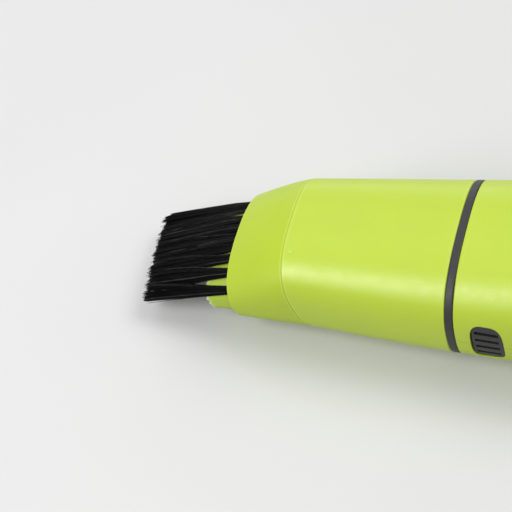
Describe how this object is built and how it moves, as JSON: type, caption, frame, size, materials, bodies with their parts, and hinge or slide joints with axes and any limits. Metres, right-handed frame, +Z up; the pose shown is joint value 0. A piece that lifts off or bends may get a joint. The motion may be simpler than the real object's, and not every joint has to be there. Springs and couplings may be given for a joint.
{
  "type": "desktop mini vacuum cleaner",
  "caption": "Slim hand-held desk vacuum with a bristled nozzle, pull-off dust barrel and filter, thumb slide switch and battery cap at the tail.",
  "frame": {"origin": "middle of the footprint, on the plane the feet stand on", "axes": "+X towards the tail, -X towards the nozzle, +Z up out of the switch side"},
  "size_m": [0.192, 0.0458, 0.0341],
  "materials": {
    "lime_gloss": "satin moulded plastic, lime green",
    "lime_sleeve": "matt moulded plastic, deeper lime green",
    "black_bristle": "fine black nylon filament",
    "black_rubber": "matt black rubber",
    "black_plastic": "fine textured black plastic",
    "grey_plastic": "plain grey moulded plastic",
    "white_plastic": "natural white moulded plastic",
    "white_cloth": "white non-woven filter cloth",
    "steel": "zinc plated steel",
    "nickel": "nickel plated spring steel",
    "brass": "tinned brass tab",
    "winding": "lacquered laminations and windings",
    "magnet": "dark sintered ferrite",
    "cell_jacket": "plain shrink jacket",
    "red_lead": "red wire insulation",
    "black_lead": "black wire insulation"
  },
  "bodies": {
    "handle": {"collar_ring": "black_plastic", "upper_shell": "lime_gloss", "lower_shell": "lime_gloss", "side_grips": "black_rubber", "vent_grilles": "black_plastic", "rubber_feet": "black_rubber", "shell_screws": "steel", "fan_bulkhead": "grey_plastic", "fan_housing": "grey_plastic", "motor_can": "steel", "motor_magnets": "magnet", "motor_end_bell": "white_plastic", "motor_terminals": "brass", "motor_screws": "steel", "switch_bezel": "black_plastic", "switch_body": "steel", "switch_terminals": "brass", "battery_tray": "grey_plastic", "cell_left": "cell_jacket", "cell_right": "cell_jacket", "front_contacts": "nickel", "front_spring": "nickel", "switch_lead": "red_lead", "motor_lead": "red_lead", "return_lead": "black_lead"},
    "barrel": {"dust_barrel": "lime_gloss"},
    "nozzle": {"nozzle_hood": "lime_gloss", "brush_carrier": "lime_sleeve", "brush_tufts": "black_bristle", "nozzle_seal": "black_rubber"},
    "filter": {"filter_frame": "grey_plastic", "filter_cloth": "white_cloth"},
    "rotor": {"impeller": "white_plastic", "motor_shaft": "steel", "motor_armature": "winding"},
    "power_switch": {"switch_slider": "black_plastic", "switch_knob": "lime_gloss"},
    "battery_cap": {"tail_cap": "lime_gloss", "rear_contact": "nickel", "rear_spring": "nickel"}
  },
  "joints": [
    {"name": "barrel_pull", "type": "slide", "parent": "handle", "child": "barrel", "axis": [-1, 0, 0], "range_m": [0, 0.03]},
    {"name": "nozzle_pull", "type": "slide", "parent": "barrel", "child": "nozzle", "axis": [-1, 0, 0], "range_m": [0, 0.022]},
    {"name": "filter_pull", "type": "slide", "parent": "handle", "child": "filter", "axis": [-1, 0, 0], "range_m": [0, 0.015]},
    {"name": "rotor_spin", "type": "hinge", "parent": "handle", "child": "rotor", "pos_m": [-0.00032, 0, 0.016], "axis": [1, 0, 0], "continuous": true},
    {"name": "switch_slide", "type": "slide", "parent": "handle", "child": "power_switch", "axis": [-1, 0, 0], "range_m": [0, 0.004]},
    {"name": "cap_pull", "type": "slide", "parent": "handle", "child": "battery_cap", "axis": [1, 0, 0], "range_m": [0, 0.02]}
  ]
}
